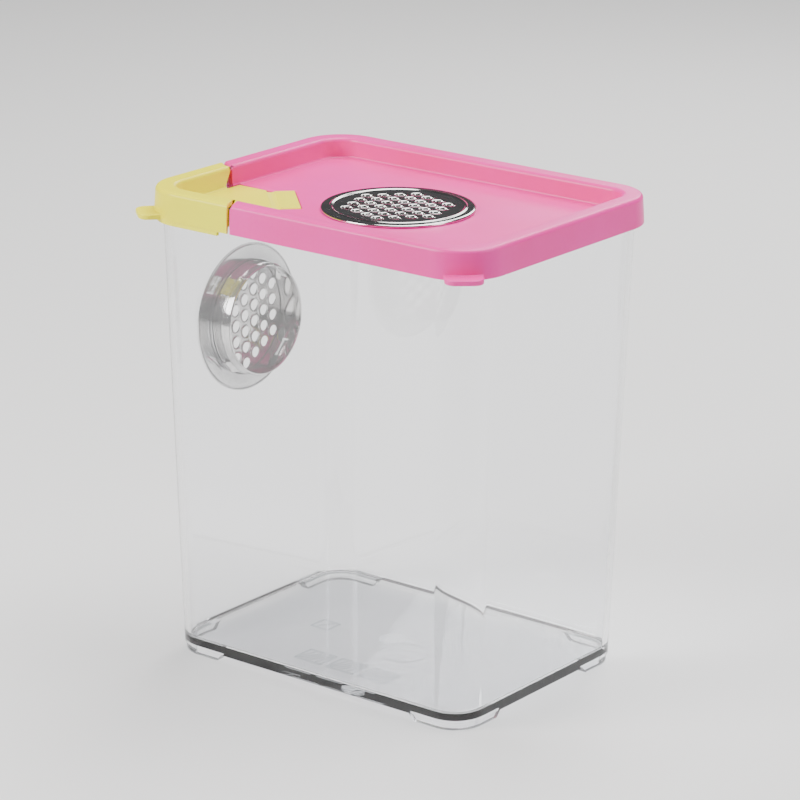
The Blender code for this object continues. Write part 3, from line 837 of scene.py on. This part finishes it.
# %% The living hinge's places along the corner's diagonal
HINGE_CENTRE = -13.2 * MM
ANCHOR_NEAR, ANCHOR_FAR, ANCHOR_LENGTH = 41.8 * MM, 47.8 * MM, 20.4 * MM
ANCHOR_BOTTOM, ANCHOR_TOP = PANEL_TOP - 0.6 * MM, PANEL_TOP + 0.2 * MM
PIECE_GAP = 0.2 * MM


def on_diagonal(distance, s):
    """The point at a distance from the lid's corner along its diagonal, and at s along the hinge."""
    total = distance * math.sqrt(2) - LID_LENGTH / 2 - LID_WIDTH / 2
    across_it = s * math.sqrt(2)
    return (CENTRE.x + (total + across_it) / 2, CENTRE.y + (total - across_it) / 2)


def diagonal_block(name, near_edge, far_edge, length, bottom, top):
    """A plate across the diagonal, centred on the hinge."""
    half = length / 2
    corners = [(near_edge, -half), (far_edge, -half), (far_edge, half), (near_edge, half)]
    return solid(name, prism([on_diagonal(d, HINGE_CENTRE + s) for d, s in corners], bottom, top))


# %% The lid
lid = lid_shell("lid_fine")
combine(lid, "UNION", thumb_tab(1))
layers = [
    (cap_outline(1, PANEL_LIP), SKIRT_BOTTOM - OUTSIDE),
    (cap_outline(1, PANEL_LIP), FLARE_START),
    (cap_outline(1, PANEL_LIP, flare=RIM_FLARE), LID_TOP),
    (cap_outline(1, PANEL_LIP, flare=RIM_FLARE), LID_TOP + OUTSIDE),
]
combine(lid, "DIFFERENCE", stacked("clearance", layers))
pocket = diagonal_block(
    "pocket",
    PANEL_LIP - PANEL_GAP,
    ANCHOR_FAR + PIECE_GAP,
    ANCHOR_LENGTH + 2 * PIECE_GAP,
    ANCHOR_BOTTOM - PIECE_GAP,
    LID_TOP,
)
combine(lid, "DIFFERENCE", pocket)
lid_pose = Matrix.Translation(CENTRE + Vector((0, 0, PANEL_TOP)))
combine(lid, "DIFFERENCE", bore(lid_pose))
round_edges(lid, cut_radius, CUT_ROUND, 3)
shade(lid, pink)
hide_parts("lid")
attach(lid, "lid")

# %% The drip lip that hangs below the cap's skirt
LIP_OUTER, LIP_INNER, LIP_BOTTOM, LIP_ROOT = 0.4 * MM, 1.3 * MM, cap_low.z, SKIRT_BOTTOM + 0.3 * MM
LIP_FRONT, LIP_SIDE = CENTRE.x - 29.5 * MM, CENTRE.y - 11.5 * MM
profile = [(LIP_OUTER, LIP_ROOT), (LIP_OUTER, LIP_BOTTOM), (LIP_INNER, LIP_BOTTOM), (LIP_INNER, LIP_ROOT)]
lip = solid("lip", loft([lid_ring(inset, z) for inset, z in profile], hoop=True))
far_x, far_y = CENTRE.x - LID_LENGTH, CENTRE.y - LID_WIDTH
corner_area = [(far_x, far_y), (LIP_FRONT, far_y), (LIP_FRONT, LIP_SIDE), (far_x, LIP_SIDE)]
combine(lip, "INTERSECT", solid("crop", prism(corner_area, 0, LID_TOP)))
print("drip lip", len(lip.data.polygons), "faces")

# %% The spout cap
cap = lid_shell("spout_cap_fine")
layers = [
    (cap_outline(0, FLAP_EDGE, relief=SIDE_RELIEF), SKIRT_BOTTOM - OUTSIDE),
    (cap_outline(0, FLAP_EDGE, relief=SIDE_RELIEF), RELIEF_LOW),
    (cap_outline(0, FLAP_EDGE), RELIEF_HIGH),
    (cap_outline(0, FLAP_EDGE), LID_TOP + OUTSIDE),
]
combine(cap, "INTERSECT", stacked("region", layers))
combine(cap, "UNION", thumb_tab(-1))
combine(cap, "UNION", lip)
round_edges(cap, cut_radius, CUT_ROUND, 3)
shade(cap, yellow)
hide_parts("spout_cap")
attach(cap, "spout_cap")

# %% [markdown]
# ## The living hinge
#
# The cap, its hinge and its anchor plate are one yellow moulding. The hinge is a web thin enough to fold.
# It is lofted in many narrow strips across the fold, and pinched thinnest along the middle of the fold.

# %% Anchor plate
ANCHOR_ROUND = 0.25 * MM
anchor = diagonal_block(
    "spout_cap_anchor_fine", ANCHOR_NEAR, ANCHOR_FAR, ANCHOR_LENGTH, ANCHOR_BOTTOM, ANCHOR_TOP
)
round_edges(anchor, lambda a, b: ANCHOR_ROUND, ANCHOR_ROUND)
shade(anchor, yellow)
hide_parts("spout_cap_anchor")
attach(anchor, "lid")

# %% Hinge web
WEB_STRIPS, WEB_HALF, WEB_OVERLAP, WEB_WAIST = 16, 10.2 * MM, 0.25 * MM, 0.16 * MM
WEB_TOP, WEB_BOTTOM = PANEL_TOP - 0.05 * MM, PANEL_TOP - 0.7 * MM
FOLD_MARGIN, WEB_SHARP = 0.2 * MM, math.radians(40)
web_near, web_far = FLAP_EDGE - WEB_OVERLAP, ANCHOR_NEAR + WEB_OVERLAP
web_rings = []
for i in range(WEB_STRIPS + 1):
    part = i / WEB_STRIPS
    pinch = WEB_WAIST * math.sin(math.pi * part) ** 2
    distance = web_near + (web_far - web_near) * part
    left, right = (on_diagonal(distance, HINGE_CENTRE + s * WEB_HALF) for s in (-1, 1))
    low, high = WEB_BOTTOM + pinch / 2, WEB_TOP - pinch
    corners = ((left, low), (right, low), (right, high), (left, high))
    web_rings.append([Vector((*end, z)) for end, z in corners])
web = solid("spout_cap_hinge_fine", loft(web_rings))
web.data.materials.append(yellow)
web.data.shade_smooth()
web.data.set_sharp_from_angle(angle=WEB_SHARP)
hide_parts("spout_cap_hinge")
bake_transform(web)
print("hinge web of", WEB_STRIPS, "strips")

# %% [markdown]
# ## The vents
#
# Each vent is two pressings. The face is a disc with 37 punched holes whose edges turn inwards, a raised
# bead, a flat bezel and a rolled outer edge. The barrel goes through the wall, and has punched tongues
# that catch behind it, a taper and a rolled lip. We make both once, facing up, and place them twice.

# %% One punched hole and its share of the disc
PITCH, HOLE_RINGS, CELL_STEPS = 4.9 * MM, 3, 24
FACE_LEVEL, SHEET = 0.85 * MM, 0.3 * MM
FACE_SMOOTH, BARREL_SMOOTH = math.radians(50), math.radians(38)
HOLE_PROFILE = [(2.1, 0.0), (1.92, -0.05), (1.76, -0.17), (1.65, -0.36), (1.6, -0.62)]


def hole_centres():
    """A hexagonal array: one hole in the middle, then rings of 6, 12 and 18."""
    for row in range(-HOLE_RINGS, HOLE_RINGS + 1):
        count = 2 * HOLE_RINGS + 1 - abs(row)
        for i in range(count):
            yield (i - (count - 1) / 2) * PITCH, row * PITCH * math.sin(math.pi / 3)


def add_hole(bm, x, y):
    """A hexagonal cell of the disc, curving down into its hole."""
    angles = [math.tau * i / CELL_STEPS for i in range(CELL_STEPS)]
    rows = [[]]
    for a in angles:
        from_normal = (a + math.pi / 6) % (math.pi / 3) - math.pi / 6
        reach = PITCH / 2 / math.cos(from_normal)
        rows[0].append(bm.verts.new((x + reach * math.cos(a), y + reach * math.sin(a), FACE_LEVEL)))
    for radius, drop in HOLE_PROFILE:
        z = FACE_LEVEL + drop * MM
        points = [(x + radius * MM * math.cos(a), y + radius * MM * math.sin(a), z) for a in angles]
        rows.append([bm.verts.new(point) for point in points])
    for outer, inner in zip(rows, rows[1:]):
        for i in range(CELL_STEPS):
            j = (i + 1) % CELL_STEPS
            bm.faces.new((outer[i], outer[j], inner[j], inner[i]))


# %% The face: holes, plain border, bead, bezel and rolled edge
VENT_STEPS, SAME_CORNER, SAME_LEVEL = 96, 0.005 * MM, 0.001 * MM
BORDER = [
    (18.7, 0.85),
    (18.95, 0.90),
    (19.12, 1.05),
    (19.35, 1.16),
    (19.6, 1.18),
    (19.8, 1.10),
    (19.95, 0.98),
    (20.2, 0.94),
    (21.6, 0.98),
    (22.05, 0.93),
    (22.34, 0.78),
    (22.48, 0.55),
    (22.5, 0.22),
]


def vent_face():
    """The face as one sheet: hexagonal cells, a plain border filled in round them, and the turned rim."""
    bm = bmesh.new()
    for x, y in hole_centres():
        add_hole(bm, x, y)
    bmesh.ops.remove_doubles(bm, verts=bm.verts, dist=SAME_CORNER)
    rows = [[bm.verts.new(v) for v in circle(r * MM, z * MM, VENT_STEPS)] for r, z in BORDER]
    seam = [bm.edges.new((rows[0][i], rows[0][(i + 1) % VENT_STEPS])) for i in range(VENT_STEPS)]
    level = [
        edge
        for edge in bm.edges
        if edge.is_boundary and all(abs(v.co.z - FACE_LEVEL) < SAME_LEVEL for v in edge.verts)
    ]
    bmesh.ops.triangle_fill(bm, edges=level + seam, use_beauty=True)
    for near_row, far_row in zip(rows, rows[1:]):
        for i in range(VENT_STEPS):
            j = (i + 1) % VENT_STEPS
            bm.faces.new((near_row[i], near_row[j], far_row[j], far_row[i]))
    bmesh.ops.recalc_face_normals(bm, faces=bm.faces)
    if sum(f.normal.z for f in bm.faces) < 0:
        bmesh.ops.reverse_faces(bm, faces=bm.faces)
    return bm


def make_face(name, pose, body, node_name):
    """One vent's face, thickened inwards and placed."""
    face = solid(name, vent_face(), pose)
    thicken = face.modifiers.new("sheet", "SOLIDIFY")
    thicken.thickness = SHEET
    thicken.offset = -1.0
    settle(face)
    shade(face, steel, FACE_SMOOTH)
    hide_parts(node_name)
    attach(face, body)
    print(name, len(face.data.polygons), "faces")


# %% The barrel: seat, straight band, crease, taper and rolled lip
BARREL = [
    (21.6, 0.45),
    (21.6, 0.22),
    (17.45, 0.22),
    (17.18, 0.12),
    (17.1, -0.15),
    (17.1, -1.9),
    (16.98, -2.05),
    (17.1, -2.2),
    (17.1, -5.4),
    (17.02, -5.62),
    (16.9, -5.72),
    (16.52, -7.35),
    (16.56, -7.6),
    (16.62, -7.85),
    (16.52, -8.06),
    (16.30, -8.10),
    (16.12, -7.95),
    (16.10, -7.7),
    (16.18, -7.35),
    (16.56, -5.8),
    (16.70, -5.55),
    (16.78, -5.3),
    (16.78, -0.1),
    (16.9, 0.3),
    (17.2, 0.45),
]
BARBS, BARB_WIDTH, BARB_TOP, BARB_BOTTOM = 4, 6.2 * MM, -2.5 * MM, -5.1 * MM
WINDOW_INNER, WINDOW_OUTER = 16 * MM, 18.5 * MM


def radial_box(turn, inner, outer, width, bottom, top):
    """A block that stands across the barrel's wall at an angle round it."""
    corners = [(inner, -width / 2), (outer, -width / 2), (outer, width / 2), (inner, width / 2)]
    bm = prism(corners, bottom, top)
    bmesh.ops.rotate(bm, matrix=Matrix.Rotation(turn, 3, "Z"), verts=bm.verts)
    return solid("block", bm)


def tongue(turn):
    """The tongue bent out of its window: a thin plate fixed at its lower end."""
    low, high, half = BARB_BOTTOM - 0.3 * MM, BARB_TOP - 0.2 * MM, BARB_WIDTH / 2 - 0.35 * MM
    section = [(16.75, low), (17.15, low), (17.95, high), (17.62, high)]
    bm = loft([[Vector((r * MM, y, z)) for r, z in section] for y in (-half, half)])
    bmesh.ops.rotate(bm, matrix=Matrix.Rotation(turn, 3, "Z"), verts=bm.verts)
    return solid("tongue", bm)


def make_barrel(name, pose, seam_turn, body, node_name):
    """One vent's barrel, with four windows and their tongues, and the slit where its sheet meets."""
    barrel = solid(name, loft([circle(r * MM, z * MM, VENT_STEPS) for r, z in BARREL], hoop=True))
    for i in range(BARBS):
        turn = math.pi / 4 + i * math.pi / 2
        window = radial_box(turn, WINDOW_INNER, WINDOW_OUTER, BARB_WIDTH, BARB_BOTTOM, BARB_TOP)
        combine(barrel, "DIFFERENCE", window)
        combine(barrel, "UNION", tongue(turn))
    slit = radial_box(
        seam_turn, inner=15.5 * MM, outer=18 * MM, width=0.16 * MM, bottom=-9 * MM, top=-5.5 * MM
    )
    combine(barrel, "DIFFERENCE", slit)
    barrel.data.transform(pose)
    shade(barrel, steel, BARREL_SMOOTH)
    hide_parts(node_name)
    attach(barrel, body)
    print(name, len(barrel.data.polygons), "faces")


# %% Place both vents
make_face("lid_vent_face_fine", lid_pose @ Matrix.Rotation(math.pi / 4, 4, "Z"), "lid", "lid_vent_face")
make_barrel("lid_vent_barrel_fine", lid_pose, 0.0, "lid", "lid_vent_barrel")
make_face("side_vent_face_fine", side_pose, "box", "side_vent_face")
make_barrel("side_vent_barrel_fine", side_pose, math.radians(20), "box", "side_vent_barrel")

# %% [markdown]
# ## Floor, light and camera
#
# A pale floor and a few soft boxes are all that a clear object needs. Large lamps to the left and above
# give the lid its soft top light, and a darker world leaves the steel something dark to mirror.

# %% Floor
FLOOR_REACH = 6.0
floor_bm = bmesh.new()
bmesh.ops.create_grid(floor_bm, x_segments=1, y_segments=1, size=FLOOR_REACH)
floor = solid("floor", floor_bm)
floor_material, _, floor_shader = new_material("pale_floor")
floor_shader.inputs["Base Color"].default_value = (0.80, 0.79, 0.78, 1)
floor_shader.inputs["Roughness"].default_value = 0.6
floor.data.materials.append(floor_material)
floor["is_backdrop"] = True
print("floor", 2 * FLOOR_REACH, "m wide")

# %% World and lamps
world = bpy.data.worlds.new("studio")
world.use_nodes = True
background = world.node_tree.nodes["Background"]
background.inputs["Color"].default_value = (0.42, 0.43, 0.45, 1)
background.inputs["Strength"].default_value = 0.25
bpy.context.scene.world = world
LAMPS = [
    ("top", 160, 74, 1.60, 1.60, 50.0),
    ("left", -30, 30, 0.85, 0.45, 9.0),
    ("right", 100, 22, 0.90, 0.35, 1.6),
    ("back", 200, 30, 0.90, 0.40, 2.5),
]
look_at = CENTRE + Vector((0, 0, 90 * MM))


def direction(azimuth, elevation):
    """The way from the object to something at these angles, in degrees."""
    a, e = math.radians(azimuth), math.radians(elevation)
    return Vector((math.sin(a) * math.cos(e), -math.cos(a) * math.cos(e), math.sin(e)))


for label, azimuth, elevation, distance, size, power in LAMPS:
    away = direction(azimuth, elevation)
    lamp = bpy.data.lights.new(label, "AREA")
    lamp.shape = "DISK"
    lamp.size = size
    lamp.energy = power
    holder = bpy.data.objects.new(label, lamp)
    bpy.context.scene.collection.objects.link(holder)
    holder.location = look_at + away * distance
    holder.rotation_euler = (-away).to_track_quat("-Z", "Y").to_euler()
print("lamps", [row[0] for row in LAMPS])

# %% Camera
AZIMUTH, ELEVATION, DISTANCE, ROLL = 37.93, 17.76, 1.0317, math.radians(0.336)
target = CENTRE + Vector((-0.65 * MM, 0, 77.2 * MM))
away = direction(AZIMUTH, ELEVATION)
camera_data = bpy.data.cameras.new("camera")
camera_data.sensor_width = 36.0
camera_data.lens = 158.7
camera_data.shift_x, camera_data.shift_y = 0.0057, 0.0069
camera_data.clip_start, camera_data.clip_end = 0.01, 50.0
camera = bpy.data.objects.new("camera", camera_data)
bpy.context.scene.collection.objects.link(camera)
camera.location = target + away * DISTANCE
facing = (-away).to_track_quat("-Z", "Y").to_matrix().to_4x4()
camera.rotation_euler = (facing @ Matrix.Rotation(ROLL, 4, "Z")).to_euler()
bpy.context.scene.camera = camera
print("camera at", [round(v, 3) for v in camera.location])

low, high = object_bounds()
print("visual box", [round((b - a) / MM, 1) for a, b in zip(low, high)])
